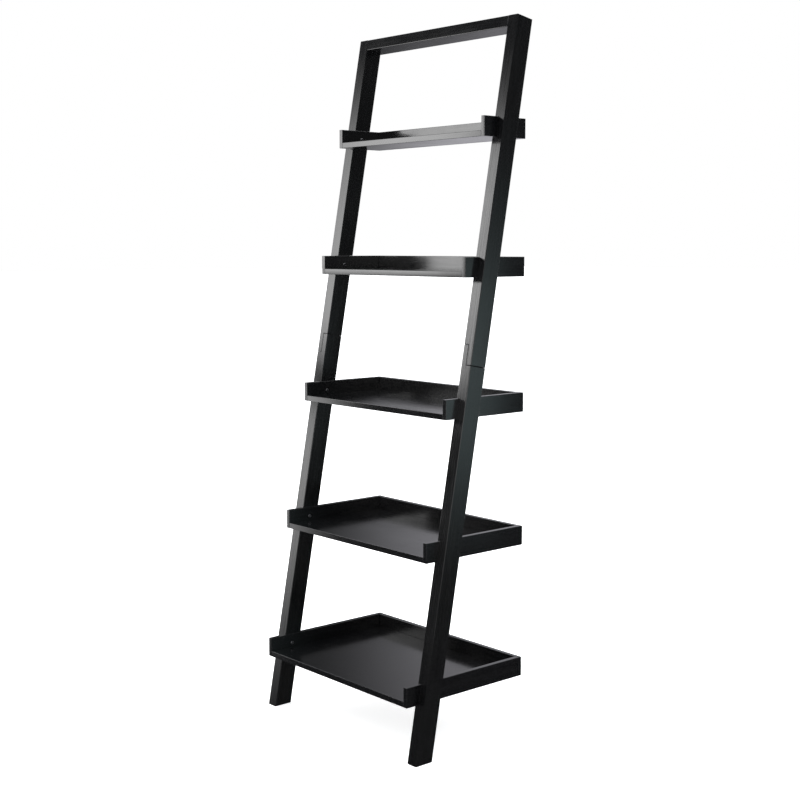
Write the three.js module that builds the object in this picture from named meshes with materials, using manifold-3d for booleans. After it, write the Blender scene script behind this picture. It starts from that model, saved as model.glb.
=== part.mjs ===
// Leaning ladder shelf: two rails lean against a wall, tied by a header bar at the top and by
// five trays that grow deeper towards the floor.
// Millimetres, +Z up, +X to the right, the front faces -Y.
// The origin is on the floor, at the centre of the shelf's footprint.

import * as THREE from 'three';
import { mergeVertices } from 'three/addons/utils/BufferGeometryUtils.js';
import Module from 'manifold-3d';

const wasm = await Module();
wasm.setup();

// Overall
const shelfWidth = 625; // across the outer faces of the rails
const shelfHeight = 1861; // floor to the front top edge of the rails
const leanAngle = THREE.MathUtils.degToRad(10.35);

// Rails and header bar
const railWidth = 34; // across the shelf
const railDepth = 52; // front to back, square to the rail
const headerHeight = 29;

// Lap joint between the lower and the upper half of each rail
const lapLength = 52;
const lapAboveTray = 83; // lower shoulder of the lap above the tray that is below it
const lapTray = 3;

// Trays
const trayCount = 5;
const lowestTrayHeight = 146; // floor to the underside of the lowest tray
const topTrayDrop = 307; // front top edge of the rails down to the underside of the top tray
const trayOverhang = 39; // tray front ahead of the rail's front, at the tray's underside
const sideThickness = 13;
const sideHeight = 51;
const backThickness = 13;
const panelThickness = 15;

// Tray bolts and the threaded inserts that they enter
const boltRadius = 3;
const boltHeadRadius = 5.2;
const boltHeadHeight = 2.8;
const boltTipChamfer = 0.5;
const boltShortOfInsert = 3; // from the shank's end to the insert's far end
const socketAcrossFlats = 4;
const socketDepth = 1.7;
const insertRadius = 4.5;
const insertLength = 11;

// Hidden dowels
const dowelRadius = 4;
const headerDowelBite = 14; // depth in the header bar, and in the rail
const lapDowelBite = 12; // depth in each half of a lap
const dowelSpacing = 24;

// Clearances
const glueLine = 0.1; // between boards that meet square to each other
const seam = 0.3; // between pieces of a turned or cut joint
const sideProud = 0.3; // tray side's inner face in from the rail's inner face
const housingFit = 0.3; // around a tray side in its housing
const holeFit = 0.3; // radial, around bolts, inserts and dowels

const cutterSpare = 10; // how far a cutter runs past the faces that it opens

// Edges and facets
const railEase = 1.6;
const boardEase = 1;
const easeSteps = 2;
const roundFacets = 16;

// Lines that follow from the sizes above
const halfWidth = shelfWidth / 2;
const railInner = halfWidth - railWidth;
const railMiddle = halfWidth - railWidth / 2;
const railLength = shelfHeight / Math.cos(leanAngle);
const footprintDepthOfRail = railLength * Math.sin(leanAngle) + railDepth * Math.cos(leanAngle);
const trayFrontAt = (height) => footprintDepthOfRail - height * Math.tan(leanAngle) + trayOverhang;
const traySpacing = (shelfHeight - topTrayDrop - lowestTrayHeight) / (trayCount - 1);
const trayHeightAt = (tier) => lowestTrayHeight + (tier - 1) * traySpacing;
const footprint = Math.max(footprintDepthOfRail, trayFrontAt(lowestTrayHeight));
const wall = footprint / 2;
const railFoot = wall - footprintDepthOfRail;
const sideInner = railInner - sideProud;
const sideOuter = sideInner + sideThickness;
const housingFloor = sideOuter + housingFit;
const lapBottom = (trayHeightAt(lapTray) + sideHeight + lapAboveTray) / Math.cos(leanAngle);
const lapTop = lapBottom + lapLength;

// Materials
const lacquer = { color: 0x131416, roughness: 0.22, metalness: 0 };
const blackSteel = { color: 0x47484b, roughness: 0.4, metalness: 1 };
const zinc = { color: 0xc9b98a, roughness: 0.45, metalness: 1 };
const beech = { color: 0xc99a68, roughness: 0.7, metalness: 0 };

// A prism of the outline, centred on its thickness, with rounded rims at both faces.
function easedPrism(points, thickness, ease) {
  const shape = new THREE.Shape(points.map(([x, y]) => new THREE.Vector2(x, y)));
  const geometry = new THREE.ExtrudeGeometry(shape, {
    depth: thickness - 2 * ease,
    steps: 1,
    bevelEnabled: true,
    bevelThickness: ease,
    bevelSize: ease,
    bevelOffset: -ease,
    bevelSegments: easeSteps,
  });
  return geometry.translate(0, 0, ease - thickness / 2);
}

// Turns a prism so that its outline's two axes lie along the given axes of the model.
function layOn(geometry, first, second) {
  const unit = (axis) => new THREE.Vector3(...['X', 'Y', 'Z'].map((name) => Number(name === axis)));
  const normal = unit(first).cross(unit(second));
  return geometry.applyMatrix4(new THREE.Matrix4().makeBasis(unit(first), unit(second), normal));
}

const rectangle = (width, height) => [
  [-width / 2, -height / 2],
  [width / 2, -height / 2],
  [width / 2, height / 2],
  [-width / 2, height / 2],
];

// A turned shape about X: the profile's first number is the radius, its second the place along X.
function turnedAboutX(profile, facets) {
  const points = profile.map(([radius, along]) => new THREE.Vector2(radius, along));
  return new THREE.LatheGeometry(points, facets).rotateZ(-Math.PI / 2);
}

function cylinderAboutX(radius, length) {
  return new THREE.CylinderGeometry(radius, radius, length, roundFacets).rotateZ(Math.PI / 2);
}

function toSolid(geometry) {
  const bare = geometry.clone();
  bare.deleteAttribute('normal');
  bare.deleteAttribute('uv');
  const merged = mergeVertices(bare, 1e-4);
  return new wasm.Manifold(new wasm.Mesh({
    numProp: 3,
    vertProperties: new Float32Array(merged.attributes.position.array),
    triVerts: new Uint32Array(merged.index.array),
  }));
}

function toGeometry(solid) {
  const mesh = solid.getMesh();
  const geometry = new THREE.BufferGeometry();
  geometry.setAttribute('position', new THREE.BufferAttribute(mesh.vertProperties, 3));
  geometry.setIndex(new THREE.BufferAttribute(mesh.triVerts, 1));
  geometry.computeVertexNormals();
  return geometry;
}

// The body with every cutter taken out of it.
function cut(body, cutters) {
  return toGeometry(cutters.reduce((solid, cutter) => solid.subtract(toSolid(cutter)), toSolid(body)));
}

function named(name, geometry, finish) {
  const mesh = new THREE.Mesh(geometry, new THREE.MeshStandardMaterial(finish));
  mesh.name = name;
  return mesh;
}

const shelf = new THREE.Group();

// The leaning frame's group: its origin is the front edge of the rails' feet, Z runs up the rails
// and Y goes from their front faces to their rear faces.
const frame = new THREE.Group();
frame.position.set(0, railFoot, 0);
frame.rotation.x = -leanAngle;
frame.updateMatrixWorld();
shelf.add(frame);
const toFrame = frame.matrixWorld.clone().invert();
const sides = [
  { name: 'left', out: -1 },
  { name: 'right', out: 1 },
];

// Each tray's front, middle and rear, and where the rail's centre line crosses it.
const trays = Array.from({ length: trayCount }, (_, index) => {
  const tier = index + 1;
  const bottom = trayHeightAt(tier);
  const depth = trayFrontAt(bottom);
  const boltHeight = bottom + sideHeight / 2;
  const railCentre = railFoot + boltHeight * Math.tan(leanAngle) + railDepth / 2 / Math.cos(leanAngle);
  return { tier, bottom, depth, centre: wall - depth / 2, boltHeight, railCentre };
});

// Rails

// The cutter of the housing that one tray side fits into, in the frame's group.
function housing(tray, out) {
  const width = sideThickness + cutterSpare;
  const acrossRail = 3 * railDepth;
  const box = new THREE.BoxGeometry(width, acrossRail, sideHeight + 2 * housingFit);
  box.translate(out * (housingFloor - width / 2), tray.railCentre, tray.boltHeight);
  return box.applyMatrix4(toFrame);
}

// The cutter of the blind hole for one tray's threaded insert, in the frame's group.
function insertHole(tray, out) {
  const depth = insertLength + holeFit;
  const hole = cylinderAboutX(insertRadius + holeFit, depth + cutterSpare);
  hole.translate(out * (housingFloor + (depth - cutterSpare) / 2), tray.railCentre, tray.boltHeight);
  return hole.applyMatrix4(toFrame);
}

const dowelPlaces = [-dowelSpacing / 2, dowelSpacing / 2].map((offset) => railDepth / 2 + offset);
const lapCentre = lapBottom + lapLength / 2;
const headerCentre = railLength - headerHeight / 2;

// A pair of round bars about X, one near the rail's front and one near its rear.
function barPair(radius, length, x, z) {
  return dowelPlaces.map((y) => cylinderAboutX(radius, length).translate(x, y, z));
}

function lapDowelHoles(out) {
  return barPair(dowelRadius + holeFit, 2 * (lapDowelBite + holeFit), out * railMiddle, lapCentre);
}

function headerDowelHoles(out) {
  return barPair(dowelRadius + holeFit, 2 * (headerDowelBite + holeFit), out * railInner, headerCentre);
}

// One half of a rail, from one distance along it to another. A foot is cut to stand on the floor.
function railBlank(from, to, out) {
  const rearFrom = from === 0 ? railDepth * Math.tan(leanAngle) : from;
  const outline = [
    [0, from],
    [railDepth, rearFrom],
    [railDepth, to],
    [0, to],
  ];
  return layOn(easedPrism(outline, railWidth, railEase), 'Y', 'Z').translate(out * railMiddle, 0, 0);
}

// The cutter that leaves half of a rail's thickness as the lap's tongue.
function lapCutter(from, to, lowX, highX) {
  const box = new THREE.BoxGeometry(highX - lowX, railDepth + 2 * cutterSpare, to - from);
  return box.translate((lowX + highX) / 2, railDepth / 2, (from + to) / 2);
}

for (const { name, out } of sides) {
  const trayCuts = (held) => held.flatMap((tray) => [housing(tray, out), insertHole(tray, out)]);
  const ascending = (a, b) => a - b;
  const outerHalf = [out * (railMiddle - seam / 2), out * (halfWidth + cutterSpare)].sort(ascending);
  const innerHalf = [out * (railInner - cutterSpare), out * (railMiddle + seam / 2)].sort(ascending);

  const lowerCuts = [
    ...trayCuts(trays.filter((tray) => tray.tier <= lapTray)),
    ...lapDowelHoles(out),
    lapCutter(lapBottom, lapTop + cutterSpare, ...outerHalf),
  ];
  const lowerRail = cut(railBlank(0, lapTop, out), lowerCuts);
  frame.add(named(`rail_${name}_lower`, lowerRail, lacquer));

  const upperCuts = [
    ...trayCuts(trays.filter((tray) => tray.tier > lapTray)),
    ...lapDowelHoles(out),
    ...headerDowelHoles(out),
    lapCutter(lapBottom - cutterSpare, lapTop + seam, ...innerHalf),
  ];
  const upperRail = cut(railBlank(lapBottom + seam, railLength, out), upperCuts);
  frame.add(named(`rail_${name}_upper`, upperRail, lacquer));
}

// Header bar between the rails, flush with their front, rear and top faces
const headerLength = 2 * (railInner - seam);
const headerBlank = layOn(easedPrism(rectangle(headerLength, headerHeight), railDepth, railEase), 'X', 'Z');
headerBlank.translate(0, railDepth / 2, headerCentre);
const headerHoles = sides.flatMap(({ out }) => headerDowelHoles(out));
frame.add(named('header_bar', cut(headerBlank, headerHoles), lacquer));

// Dowels in the laps and at the header's ends
for (const { name, out } of sides) {
  const lapDowels = barPair(dowelRadius, 2 * lapDowelBite, out * railMiddle, lapCentre);
  const headerDowels = barPair(dowelRadius, 2 * headerDowelBite, out * railInner, headerCentre);
  ['front', 'rear'].forEach((place, index) => {
    frame.add(named(`dowel_lap_${name}_${place}`, lapDowels[index], beech));
    frame.add(named(`dowel_header_${name}_${place}`, headerDowels[index], beech));
  });
}

// Trays

// A screw with a low domed head and a hexagonal socket. Its head's seat is at x = 0 and its shank
// runs towards +X.
function boltGeometry(shankLength) {
  const profile = [
    [0, shankLength],
    [boltRadius - boltTipChamfer, shankLength],
    [boltRadius, shankLength - boltTipChamfer],
    [boltRadius, 0],
    [boltHeadRadius, 0],
    [boltHeadRadius, -0.4 * boltHeadHeight],
    [0.9 * boltHeadRadius, -0.75 * boltHeadHeight],
    [0.6 * boltHeadRadius, -boltHeadHeight],
    [0, -boltHeadHeight],
  ];
  const cornerRadius = socketAcrossFlats / Math.sqrt(3);
  const length = socketDepth + cutterSpare;
  const socket = new THREE.CylinderGeometry(cornerRadius, cornerRadius, length, 6).rotateZ(Math.PI / 2);
  socket.translate(-boltHeadHeight + socketDepth - length / 2, 0, 0);
  return cut(turnedAboutX(profile.reverse(), roundFacets), [socket]);
}

// The insert is a plain sleeve. Its mouth is at x = 0 and it runs towards +X.
function insertGeometry() {
  const bore = boltRadius + holeFit;
  const profile = [
    [bore, 0],
    [insertRadius, 0],
    [insertRadius, insertLength],
    [bore, insertLength],
    [bore, 0],
  ];
  return turnedAboutX(profile, roundFacets);
}

for (const tray of trays) {
  const group = new THREE.Group();
  group.position.set(0, tray.centre, tray.bottom);
  shelf.add(group);
  const boltY = tray.railCentre - tray.centre;
  const boltZ = sideHeight / 2;
  const innerWidth = 2 * (sideInner - glueLine);

  for (const { name, out } of sides) {
    const side = layOn(easedPrism(rectangle(tray.depth, sideHeight), sideThickness, boardEase), 'Y', 'Z');
    side.translate(out * (sideInner + sideThickness / 2), 0, sideHeight / 2);
    const hole = cylinderAboutX(boltRadius + holeFit, 2 * sideThickness);
    hole.translate(out * (sideInner + sideThickness / 2), boltY, boltZ);
    group.add(named(`tray_${tray.tier}_side_${name}`, cut(side, [hole]), lacquer));

    const turn = out > 0 ? 0 : Math.PI;
    const insertMouth = housingFloor + holeFit / 2;
    const boltSeat = sideInner - glueLine;
    const shankLength = insertMouth + insertLength - boltShortOfInsert - boltSeat;
    const bolt = named(`tray_${tray.tier}_bolt_${name}`, boltGeometry(shankLength), blackSteel);
    bolt.position.set(out * boltSeat, boltY, boltZ);
    bolt.rotation.z = turn;
    group.add(bolt);

    const insert = named(`tray_${tray.tier}_insert_${name}`, insertGeometry(), zinc);
    insert.position.set(out * insertMouth, boltY, boltZ);
    insert.rotation.z = turn;
    group.add(insert);
  }

  const back = layOn(easedPrism(rectangle(innerWidth, sideHeight), backThickness, boardEase), 'X', 'Z');
  back.translate(0, tray.depth / 2 - backThickness / 2, sideHeight / 2);
  group.add(named(`tray_${tray.tier}_back`, back, lacquer));

  const panelDepth = tray.depth - backThickness - glueLine;
  const panel = easedPrism(rectangle(innerWidth, panelDepth), panelThickness, boardEase);
  panel.translate(0, -(tray.depth - panelDepth) / 2, panelThickness / 2);
  group.add(named(`tray_${tray.tier}_panel`, panel, lacquer));
}

export default shelf;
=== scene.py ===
"""Looks of the leaning ladder shelf: black gloss lacquer over wood, in soft studio light."""
import math

import bmesh
import bpy
from mathutils import Matrix, Vector


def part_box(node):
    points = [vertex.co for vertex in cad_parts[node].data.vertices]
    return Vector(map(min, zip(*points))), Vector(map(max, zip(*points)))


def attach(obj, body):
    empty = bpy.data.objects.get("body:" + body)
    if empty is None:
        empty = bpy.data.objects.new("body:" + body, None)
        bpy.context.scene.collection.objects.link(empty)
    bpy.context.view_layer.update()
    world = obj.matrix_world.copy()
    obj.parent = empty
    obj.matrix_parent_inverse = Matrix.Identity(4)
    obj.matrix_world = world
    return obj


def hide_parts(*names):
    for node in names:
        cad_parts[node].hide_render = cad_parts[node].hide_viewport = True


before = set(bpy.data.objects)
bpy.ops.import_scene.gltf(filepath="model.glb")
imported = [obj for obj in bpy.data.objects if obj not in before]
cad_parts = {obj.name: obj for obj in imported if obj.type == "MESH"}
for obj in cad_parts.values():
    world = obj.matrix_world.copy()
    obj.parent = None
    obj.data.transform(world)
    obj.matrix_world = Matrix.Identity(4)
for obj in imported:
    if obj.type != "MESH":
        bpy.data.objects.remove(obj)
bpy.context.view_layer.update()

SIDES = ("left", "right")
TIERS = range(1, 6)

# Camera, in metres and degrees
CAMERA_PLACE = Vector((2.747, -2.351, 1.280))
CAMERA_YAW = 49.1
CAMERA_PITCH = -5.11
CAMERA_LENS = 61.3
CAMERA_SHIFT_Y = -0.04

# Edges of the boards, in metres and degrees
EDGE_ROUNDING = 0.0005
EDGE_SEGMENTS = 2
SEAM_ROUNDING = 0.0016
SEAM_SEGMENTS = 3
SEAM_MARGIN = 0.0015
SKIN = 0.005  # how near a rail's front or rear face an edge of the lap has to end to be seen
SHARP_ANGLE = 50
SMOOTH_ANGLE = 35
FLAT_ANGLE = 1
MERGE_DISTANCE = 1e-6

# Tray bolts, in metres
BOLT_RADIUS = 0.003
BOLT_HEAD_HEIGHT = 0.0028
BOLT_SOCKET = 0.004
BOLT_SOCKET_DEPTH = 0.0017
BOLT_CHAMFER = 0.0003
BOLT_FACETS = 48
DOME_STEPS = 6
DOME_SHARE = 0.85  # how much of the head's height is domed

# Sky and floor
SKY_TINT = (0.95, 0.97, 1, 1)
SKY_BRIGHTNESS = (0.08, 1.5)
SKY_RISE = (0.42, 0.72)  # upward parts of the directions between which the sky brightens
WHITE = (1, 1, 1, 1)
FLOOR_PAINT = (0.92, 0.92, 0.92, 1)
FLOOR_ROUGHNESS = 0.9
FLOOR_REACH = 60
FLOOR_PALING = (0.5, 2.5)  # distances between which the floor turns from pale grey to white
FLOOR_GLOW = (0.7, 1.0)

# Lacquer: patterns per metre along, across and through a board, or the same every way
FIBRES = (11, 200, 200)
PORES = (45, 1100, 1100)
FIGURE = (2.2, 26, 26)
ORANGE_PEEL = 420
SMUDGES = 7
DUST = 2600
# Painted highlight: a lighter base colour along the rounded rims of the boards, standing in for the
# light the rims catch
RIM_HIGHLIGHT_PAINT = (0.050, 0.050, 0.053, 1)
DUST_PAINT = (0.05, 0.05, 0.055, 1)
# how far in from a rim the painted highlight reaches, in metres
RIM_HIGHLIGHT_REACH = 0.0016
RIM_FACING = (0.995, 0.8)  # how the true and the rounded normal agree, off a rim and on it
REFRACTION = 1.5
PEEL_RELIEF = 0.00006  # heights of the bumps, in metres
FIBRE_RELIEF = 0.0003
PORE_RELIEF = 0.0002
GRAIN_STEP = Vector((0.731, 0.377, 0.193))  # sets each board's grain apart from the others'
BEECH_RAYS = (90, 900, 900)
BEECH_DARK = (0.55, 0.37, 0.21, 1)
BEECH_LIGHT = (0.68, 0.50, 0.32, 1)
METAL_BLOTCHES = 900
METAL_SCRATCHES = (400, 4000, 4000)
SCRATCH_RELIEF = 0.0001


# ---------------------------------------------------------------- camera, lights, floor


def make_camera():
    data = bpy.data.cameras.new("camera")
    data.lens = CAMERA_LENS
    data.shift_y = CAMERA_SHIFT_Y
    camera = bpy.data.objects.new("camera", data)
    camera.location = CAMERA_PLACE
    camera.rotation_euler = (math.radians(90 + CAMERA_PITCH), 0, math.radians(CAMERA_YAW))
    bpy.context.scene.collection.objects.link(camera)
    bpy.context.scene.camera = camera


# Upright softboxes around the shelf: the angle they stand at (0 is in front, 90 to the right), how
# far off, the span to the right and up (metres), the brightness and colour, and the share of the
# width and height that fades at the left, right, bottom and top rims, all seen from the light.
SOFTBOXES = {
    "key": (-50, 1.45, (-0.8, 0.5), (1.09, 2.32), 7.3, (1, 1, 1), (0.61, 0.27, 0.11, 0.49)),
    "key_top": (-50, 1.42, (-0.45, 0.5), (1.72, 2.42), 2.4, (1, 1, 1), (0.5, 0.37, 0.5, 0.5)),
    "key_low": (-50, 1.45, (-0.8, 0.02), (-0.35, 1.02), 4.0, (1, 1, 1), (0.3, 0.27, 0.75, 0.08)),
    "front": (4, 3.0, (-1.2, 1.1), (0.0, 2.5), 2.6, (1, 1, 1), (0.5, 0.4, 0.45, 0.45)),
    "front_right": (45, 3.2, (-0.9, 0.9), (0.2, 2.2), 6.0, (1, 1, 1), (0.4, 0.4, 0.4, 0.4)),
    "right": (86, 2.6, (-0.8, 0.7), (-0.3, 1.8), 2.6, (1, 1, 1), (0.5, 0.5, 0.4, 0.5)),
    "cool": (133, 1.3, (-1.1, -0.02), (0.15, 1.75), 0.95, (0.82, 1.06, 1.08), (0.3, 0.12, 0.45, 0.6)),
    "back": (180, 2.6, (-0.85, 0.85), (-0.5, 1.9), 2.8, (1, 1, 1), (0.5, 0.3, 0.4, 0.5)),
    "backdrop": (-131, 2.5, (-2.0, 0.42), (0.35, 1.75), 0.62, (1, 0.985, 1.06), (0.1, 0.36, 0.1, 0.3)),
    "left": (-90, 2.6, (-0.8, 0.75), (0.0, 2.2), 2.4, (1, 1, 1), (0.4, 0.4, 0.4, 0.5)),
}
# A level softbox over the shelf: height, span to the right and to the wall, brightness and fades.
OVERHEAD = (3.3, (-1.3, 1.3), (-1.5, 2.6), 3.2, (0.3, 0.3, 0.3, 0.3))


def fading_emission(light, fades):
    """The light's own nodes, with its brightness falling off smoothly towards each rim."""
    light.use_nodes = True
    nodes, links = light.node_tree.nodes, light.node_tree.links
    emission = nodes["Emission"]
    place = nodes.new("ShaderNodeNewGeometry").outputs["Parametric"]
    split = nodes.new("ShaderNodeSeparateXYZ")
    links.new(place, split.inputs[0])
    strength = None
    rims = ((0, 0, fades[0]), (0, 1, 1 - fades[1]), (1, 0, fades[2]), (1, 1, 1 - fades[3]))
    for axis, outer, inner in rims:
        fade = nodes.new("ShaderNodeMapRange")
        fade.interpolation_type = "SMOOTHSTEP"
        fade.inputs["From Min"].default_value = outer
        fade.inputs["From Max"].default_value = inner
        links.new(split.outputs[axis], fade.inputs["Value"])
        if strength is None:
            strength = fade.outputs["Result"]
            continue
        product = nodes.new("ShaderNodeMath")
        product.operation = "MULTIPLY"
        links.new(strength, product.inputs[0])
        links.new(fade.outputs["Result"], product.inputs[1])
        strength = product.outputs[0]
    links.new(strength, emission.inputs["Strength"])


def make_card(name, width, height, brightness, colour, fades):
    """A rectangular light of that brightness, seen by the shelf but not by the camera."""
    data = bpy.data.lights.new(name, "AREA")
    data.shape = "RECTANGLE"
    data.size, data.size_y = width, height
    data.energy = brightness * math.pi * width * height
    data.color = colour
    fading_emission(data, fades)
    light = bpy.data.objects.new(name, data)
    light.visible_camera = False
    bpy.context.scene.collection.objects.link(light)
    return light


def make_softbox(name, azimuth, distance, across, up, brightness, colour, fades):
    light = make_card(name, across[1] - across[0], up[1] - up[0], brightness, colour, fades)
    turn = math.radians(azimuth)
    away = Vector((math.sin(turn), -math.cos(turn), 0))
    side = Vector((math.cos(turn), math.sin(turn), 0))
    light.location = away * distance + side * sum(across) / 2 + Vector((0, 0, sum(up) / 2))
    light.rotation_euler = (math.radians(90), 0, turn)


def make_overhead(height, across, back, brightness, fades):
    light = make_card("overhead", across[1] - across[0], back[1] - back[0], brightness, (1, 1, 1), fades)
    light.location = (sum(across) / 2, sum(back) / 2, height)


def make_lights():
    for name, settings in SOFTBOXES.items():
        make_softbox(name, *settings)
    make_overhead(*OVERHEAD)


def make_world():
    """White where the camera sees it; where it lights the shelf, dim below and brighter overhead."""
    world = bpy.data.worlds.new("studio")
    bpy.context.scene.world = world
    world.use_nodes = True
    nodes, links = world.node_tree.nodes, world.node_tree.links
    nodes.clear()
    output = nodes.new("ShaderNodeOutputWorld")
    mix = nodes.new("ShaderNodeMixShader")
    path = nodes.new("ShaderNodeLightPath")
    seen = nodes.new("ShaderNodeBackground")
    lit = nodes.new("ShaderNodeBackground")
    direction = nodes.new("ShaderNodeTexCoord")
    split = nodes.new("ShaderNodeSeparateXYZ")
    rise = nodes.new("ShaderNodeMapRange")
    rise.interpolation_type = "SMOOTHSTEP"
    rise.inputs["From Min"].default_value, rise.inputs["From Max"].default_value = SKY_RISE
    rise.inputs["To Min"].default_value, rise.inputs["To Max"].default_value = SKY_BRIGHTNESS
    seen.inputs["Color"].default_value = WHITE
    lit.inputs["Color"].default_value = SKY_TINT
    links.new(direction.outputs["Generated"], split.inputs[0])
    links.new(split.outputs["Z"], rise.inputs["Value"])
    links.new(rise.outputs["Result"], lit.inputs["Strength"])
    links.new(path.outputs["Is Camera Ray"], mix.inputs["Fac"])
    links.new(lit.outputs[0], mix.inputs[1])
    links.new(seen.outputs[0], mix.inputs[2])
    links.new(mix.outputs[0], output.inputs["Surface"])


def make_floor():
    """A pale floor, a little darker around the shelf so that the feet cast a soft shadow."""
    reach = FLOOR_REACH
    mesh = bpy.data.meshes.new("floor")
    corners = [(-reach, -reach, 0), (reach, -reach, 0), (reach, reach, 0), (-reach, reach, 0)]
    mesh.from_pydata(corners, [], [(0, 1, 2, 3)])
    floor = bpy.data.objects.new("floor", mesh)
    bpy.context.scene.collection.objects.link(floor)
    n = Nodes("floor_paint")
    place = n.add("TexCoord").outputs["Object"]
    distance = n.add("VectorMath", {0: place}, operation="LENGTH").outputs["Value"]
    n.put(n.remap(distance, *FLOOR_PALING, *FLOOR_GLOW), n.shader.inputs["Emission Strength"])
    n.shader.inputs["Emission Color"].default_value = WHITE
    n.shader.inputs["Base Color"].default_value = FLOOR_PAINT
    n.shader.inputs["Roughness"].default_value = FLOOR_ROUGHNESS
    mesh.materials.append(n.material)
    floor.visible_glossy = False


# ---------------------------------------------------------------- materials


class Nodes:
    """Short names for making and joining a material's nodes."""

    def __init__(self, name):
        self.material = bpy.data.materials.new(name)
        self.material.use_nodes = True
        self.tree = self.material.node_tree
        self.shader = self.tree.nodes["Principled BSDF"]

    def add(self, kind, inputs=None, **settings):
        node = self.tree.nodes.new("ShaderNode" + kind)
        for key, value in settings.items():
            setattr(node, key, value)
        for key, value in (inputs or {}).items():
            self.put(value, node.inputs[key])
        return node

    def put(self, value, socket):
        if isinstance(value, bpy.types.NodeSocket):
            self.tree.links.new(value, socket)
        else:
            socket.default_value = value

    def noise(self, vector, scale, detail=2.0, roughness=0.5):
        inputs = {"Vector": vector, "Scale": scale, "Detail": detail, "Roughness": roughness}
        return self.add("TexNoise", inputs).outputs["Fac"]

    def stretch(self, vector, factors):
        node = self.add("VectorMath", {0: vector, 1: factors}, operation="MULTIPLY")
        return node.outputs[0]

    def remap(self, value, low, high, to_low, to_high):
        inputs = {"Value": value, "From Min": low, "From Max": high, "To Min": to_low, "To Max": to_high}
        return self.add("MapRange", inputs).outputs["Result"]

    def maths(self, operation, a, b=0.0):
        return self.add("Math", {0: a, 1: b}, operation=operation).outputs[0]

    def blend(self, factor, a, b):
        node = self.add("Mix", data_type="RGBA")
        self.put(factor, node.inputs["Factor"])
        self.put(a, node.inputs[6])
        self.put(b, node.inputs[7])
        return node.outputs[2]

    def bump(self, height, strength, distance, normal=None):
        inputs = {"Height": height, "Strength": strength, "Distance": distance}
        if normal is not None:
            inputs["Normal"] = normal
        return self.add("Bump", inputs).outputs[0]


def edge_mask(n, radius):
    """1 on the rims of a board, falling to 0 at that distance from them."""
    rounded = n.add("Bevel", {"Radius": radius}, samples=6).outputs[0]
    flat = n.add("NewGeometry").outputs["Normal"]
    facing = n.add("VectorMath", {0: rounded, 1: flat}, operation="DOT_PRODUCT").outputs["Value"]
    return n.remap(facing, *RIM_FACING, 0.0, 1.0)


def lacquer(name, tint, rough, grain_depth, pore_depth):
    """Black gloss lacquer over wood. The grain runs along the board's own first axis."""
    n = Nodes(name)
    place = n.add("Attribute", attribute_name="grain_place").outputs["Vector"]
    fibres = n.noise(n.stretch(place, FIBRES), 1.0, 3.0, 0.5)
    pores = n.noise(n.stretch(place, PORES), 1.0, 2.0, 0.5)
    figure = n.noise(n.stretch(place, FIGURE), 1.0, 3.0, 0.5)
    peel = n.noise(place, ORANGE_PEEL, 1.0)
    handling = n.noise(place, SMUDGES, 3.0, 0.6)
    dust = n.noise(place, DUST, 2.0, 0.7)

    dark = (tint[0] * 0.7, tint[1] * 0.7, tint[2] * 0.7, 1)
    light = (tint[0] * 1.5, tint[1] * 1.45, tint[2] * 1.4, 1)
    streaks = n.blend(n.remap(fibres, 0.35, 0.7, 0.0, 1.0), dark, light)
    figured = n.blend(n.remap(figure, 0.4, 0.75, 0.0, 0.5), streaks, dark)
    # Painted highlight along the rims: the base colour lightens there, patchy with the handling marks
    edges = edge_mask(n, RIM_HIGHLIGHT_REACH)
    patchy_rim_highlight = n.maths("MULTIPLY", edges, n.remap(handling, 0.35, 0.65, 0.25, 0.8))
    rim_highlighted = n.blend(patchy_rim_highlight, figured, RIM_HIGHLIGHT_PAINT)
    specks = n.remap(dust, 0.74, 0.8, 0.0, 0.35)
    n.put(n.blend(specks, rim_highlighted, DUST_PAINT), n.shader.inputs["Base Color"])

    smudged = n.remap(handling, 0.3, 0.7, rough * 0.8, rough * 1.3)
    fibred = n.maths("ADD", smudged, n.remap(fibres, 0.3, 0.7, -0.02, 0.03))
    n.put(n.maths("ADD", fibred, n.maths("MULTIPLY", specks, 0.5)), n.shader.inputs["Roughness"])

    waves = n.bump(peel, 0.25, PEEL_RELIEF)
    grained = n.bump(fibres, grain_depth, FIBRE_RELIEF, waves)
    n.put(n.bump(pores, pore_depth, PORE_RELIEF, grained), n.shader.inputs["Normal"])
    n.shader.inputs["IOR"].default_value = REFRACTION
    return n.material


def metal(name, colour, rough, scratch):
    """Plated or blackened steel, blotchy and finely scratched along the part."""
    n = Nodes(name)
    place = n.add("TexCoord").outputs["Object"]
    blotches = n.noise(place, METAL_BLOTCHES, 3.0, 0.6)
    marks = n.noise(n.stretch(place, METAL_SCRATCHES), 1.0, 2.0, 0.6)
    darker = tuple(c * 0.72 for c in colour) + (1,)
    blotched = n.blend(n.remap(blotches, 0.3, 0.7, 0.0, 1.0), (*colour, 1), darker)
    n.put(blotched, n.shader.inputs["Base Color"])
    n.put(n.remap(blotches, 0.3, 0.7, rough * 0.8, rough * 1.25), n.shader.inputs["Roughness"])
    n.put(n.bump(marks, scratch, SCRATCH_RELIEF), n.shader.inputs["Normal"])
    n.shader.inputs["Metallic"].default_value = 1.0
    return n.material


def bare_wood(name):
    """Unpainted beech with short dark rays."""
    n = Nodes(name)
    place = n.add("TexCoord").outputs["Object"]
    rays = n.noise(n.stretch(place, BEECH_RAYS), 1.0, 3.0, 0.6)
    colour = n.blend(n.remap(rays, 0.35, 0.65, 0.0, 1.0), BEECH_DARK, BEECH_LIGHT)
    n.put(colour, n.shader.inputs["Base Color"])
    n.put(n.remap(rays, 0.3, 0.7, 0.5, 0.75), n.shader.inputs["Roughness"])
    n.put(n.bump(rays, 0.4, FIBRE_RELIEF), n.shader.inputs["Normal"])
    return n.material


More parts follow.
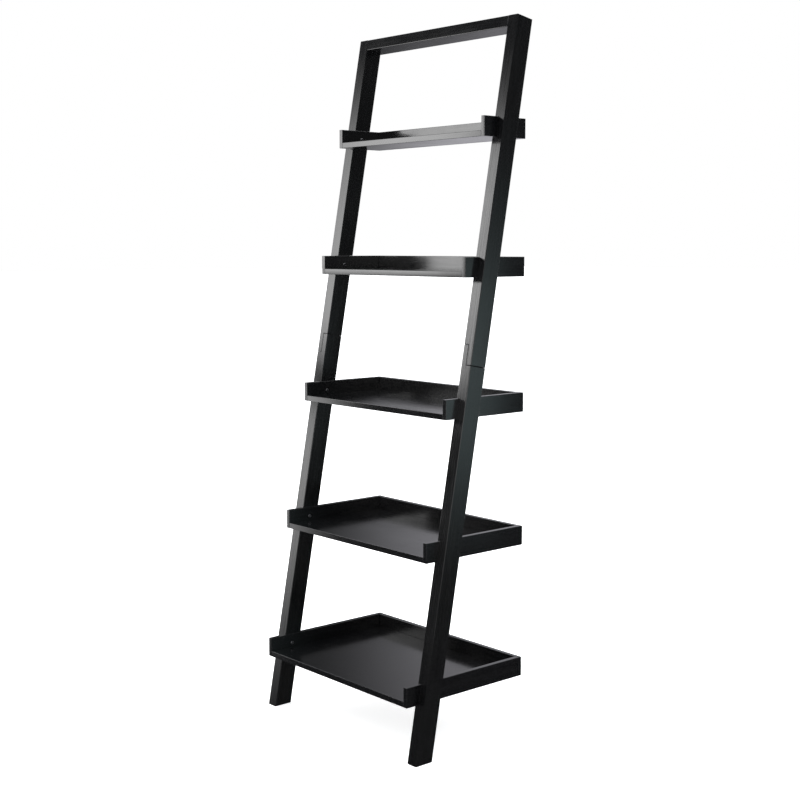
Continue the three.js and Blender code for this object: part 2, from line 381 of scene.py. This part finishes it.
RAIL_LACQUER = lacquer("rail_lacquer", (0.0024, 0.0025, 0.0028), 0.19, 0.5, 0.06)
BOARD_LACQUER = lacquer("board_lacquer", (0.0022, 0.0023, 0.0027), 0.16, 0.2, 0.03)
PANEL_LACQUER = lacquer("panel_lacquer", (0.0022, 0.0023, 0.0027), 0.14, 0.03, 0.02)
BLACK_STEEL = metal("black_steel", (0.10, 0.10, 0.105), 0.34, 0.15)
YELLOW_ZINC = metal("yellow_zinc", (0.62, 0.52, 0.28), 0.38, 0.2)
BEECH = bare_wood("beech")


# ---------------------------------------------------------------- boards


def lean_of_rails():
    """The angle between the rails' front faces and the upright."""
    lower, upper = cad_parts["rail_left_lower"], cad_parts["rail_left_upper"]
    foot = min((v.co for v in lower.data.vertices), key=lambda co: (round(co.z, 3), co.y))
    head = max((v.co for v in upper.data.vertices), key=lambda co: co.z)
    return math.atan2(head.y - foot.y, head.z - foot.z)


def grain_basis(along):
    """Rows that turn a place in the shelf into one along, across and through a board."""
    across = Vector((1, 0, 0)) if abs(along.x) < 0.5 else Vector((0, 1, 0))
    through = along.cross(across).normalized()
    across = through.cross(along).normalized()
    return Matrix((along.normalized(), across, through))


def sharp_edges(bm):
    limit = math.radians(SHARP_ANGLE)
    return [e for e in bm.edges if len(e.link_faces) == 2 and e.calc_face_angle() > limit]


def round_edges(bm, edges, offset, segments, clamp):
    bmesh.ops.bevel(
        bm, geom=edges, offset=offset, segments=segments,
        profile=0.5, affect="EDGES", clamp_overlap=clamp,
    )


def seam_edges(bm, lean):
    """The outer edges of a rail half where it meets the other half at the lap."""
    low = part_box("rail_left_upper")[0].z - SEAM_MARGIN
    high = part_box("rail_left_lower")[1].z + SEAM_MARGIN
    backward = Vector((0, math.cos(lean), -math.sin(lean)))
    depths = {v: v.co.dot(backward) for v in bm.verts}
    front, rear = min(depths.values()) + SKIN, max(depths.values()) - SKIN

    def at_the_lap(edge):
        near_skin = any(not front < depths[v] < rear for v in edge.verts)
        return near_skin and edge.is_convex and all(low < v.co.z < high for v in edge.verts)

    return [e for e in sharp_edges(bm) if at_the_lap(e)]


def make_board(node, material, along, number):
    """A copy of a CAD board with its remaining sharp edges rounded, and more so at the laps."""
    mesh = bpy.data.meshes.new(node + "_lacquered")
    bm = bmesh.new()
    bm.from_mesh(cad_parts[node].data)
    bmesh.ops.remove_doubles(bm, verts=bm.verts, dist=MERGE_DISTANCE)
    bmesh.ops.dissolve_limit(bm, angle_limit=math.radians(FLAT_ANGLE), verts=bm.verts, edges=bm.edges)
    if node.startswith("rail"):
        round_edges(bm, seam_edges(bm, lean_of_rails()), SEAM_ROUNDING, SEAM_SEGMENTS, False)
    round_edges(bm, sharp_edges(bm), EDGE_ROUNDING, EDGE_SEGMENTS, True)
    bmesh.ops.dissolve_degenerate(bm, dist=MERGE_DISTANCE, edges=bm.edges)
    bm.to_mesh(mesh)
    bm.free()
    mesh.shade_smooth()
    mesh.set_sharp_from_angle(angle=math.radians(SMOOTH_ANGLE))

    basis = grain_basis(along)
    offset = GRAIN_STEP * number
    places = mesh.attributes.new("grain_place", "FLOAT_VECTOR", "POINT")
    for vertex, item in zip(mesh.vertices, places.data):
        item.vector = basis @ vertex.co + offset

    board = bpy.data.objects.new(node + "_lacquered", mesh)
    bpy.context.scene.collection.objects.link(board)
    mesh.materials.append(material)
    weighted = board.modifiers.new("flat_faces", "WEIGHTED_NORMAL")
    weighted.keep_sharp = True
    weighted.weight = 100
    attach(board, "root")
    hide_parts(node)


def make_boards():
    lean = lean_of_rails()
    up_the_rail = Vector((0, math.sin(lean), math.cos(lean)))
    across = Vector((1, 0, 0))
    back = Vector((0, 1, 0))
    boards = [("header_bar", "lacquered_rail", RAIL_LACQUER, across)]
    for side in SIDES:
        for half in ("lower", "upper"):
            boards.append((f"rail_{side}_{half}", "lacquered_rail", RAIL_LACQUER, up_the_rail))
    for tier in TIERS:
        for side in SIDES:
            boards.append((f"tray_{tier}_side_{side}", "lacquered_tray", BOARD_LACQUER, back))
        boards.append((f"tray_{tier}_back", "lacquered_tray", BOARD_LACQUER, across))
        boards.append((f"tray_{tier}_panel", "lacquered_panel", PANEL_LACQUER, across))
    for number, (node, slot, material, along) in enumerate(boards):
        make_board(node, material, along, number)


def dress(node, material):
    """Gives a CAD node a finished material."""
    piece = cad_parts[node]
    piece.data.materials.clear()
    piece.data.materials.append(material)


def hexagon(turn, across_flats):
    """The radius of a hexagon in that direction."""
    return across_flats / 2 / math.cos(turn % math.radians(60) - math.radians(30))


def bolt_rings(length, head_radius):
    """A button head's socket, dome and shank: places along the axis, and a radius or a hexagon."""
    head = BOLT_HEAD_HEIGHT
    socket_rim = BOLT_SOCKET / math.sqrt(3) + BOLT_CHAMFER
    inner = socket_rim + BOLT_CHAMFER
    rings = [
        (BOLT_SOCKET_DEPTH, "hexagon"),
        (BOLT_CHAMFER, "hexagon"),
        (0, socket_rim),
        (0, inner),
    ]
    for step in range(1, DOME_STEPS + 1):
        turn = math.radians(90) * step / DOME_STEPS
        rise = head * DOME_SHARE * (1 - math.cos(turn))
        rings.append((rise, inner + (head_radius - inner) * math.sin(turn)))
    rings += [
        (head, head_radius),
        (head, BOLT_RADIUS),
        (length - BOLT_CHAMFER, BOLT_RADIUS),
        (length, BOLT_RADIUS - BOLT_CHAMFER),
    ]
    return rings


def make_bolt(node, outward):
    """A button-head bolt with a hexagon socket, in place of the plainer CAD bolt."""
    low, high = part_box(node)
    length = high.x - low.x
    start = Vector((low.x if outward > 0 else high.x, (low.y + high.y) / 2, (low.z + high.z) / 2))
    head_radius = (high.z - low.z) / 2
    bm = bmesh.new()
    loops = []
    for along, radius in bolt_rings(length, head_radius):
        loop = []
        for index in range(BOLT_FACETS):
            turn = math.tau * index / BOLT_FACETS
            reach = hexagon(turn, BOLT_SOCKET) if radius == "hexagon" else radius
            offset = Vector((outward * along, reach * math.cos(turn), reach * math.sin(turn)))
            loop.append(bm.verts.new(start + offset))
        loops.append(loop)
    for loop, following in zip(loops, loops[1:]):
        for index in range(BOLT_FACETS):
            after = (index + 1) % BOLT_FACETS
            bm.faces.new((loop[index], loop[after], following[after], following[index]))
    bm.faces.new(reversed(loops[0]))
    bm.faces.new(loops[-1])
    bmesh.ops.recalc_face_normals(bm, faces=bm.faces)
    mesh = bpy.data.meshes.new(node + "_turned")
    bm.to_mesh(mesh)
    bm.free()
    mesh.shade_smooth()
    mesh.set_sharp_from_angle(angle=math.radians(SMOOTH_ANGLE))
    mesh.materials.append(BLACK_STEEL)
    bolt = bpy.data.objects.new(node + "_turned", mesh)
    bpy.context.scene.collection.objects.link(bolt)
    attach(bolt, "root")
    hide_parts(node)


def make_hardware():
    for tier in TIERS:
        for side in SIDES:
            make_bolt(f"tray_{tier}_bolt_{side}", 1 if side == "right" else -1)
            dress(f"tray_{tier}_insert_{side}", YELLOW_ZINC)
    for side in SIDES:
        for joint in ("lap", "header"):
            for place in ("front", "rear"):
                dress(f"dowel_{joint}_{side}_{place}", BEECH)


bpy.context.scene.view_settings.view_transform = "Standard"
make_camera()
make_world()
make_lights()
make_floor()
make_boards()
make_hardware()
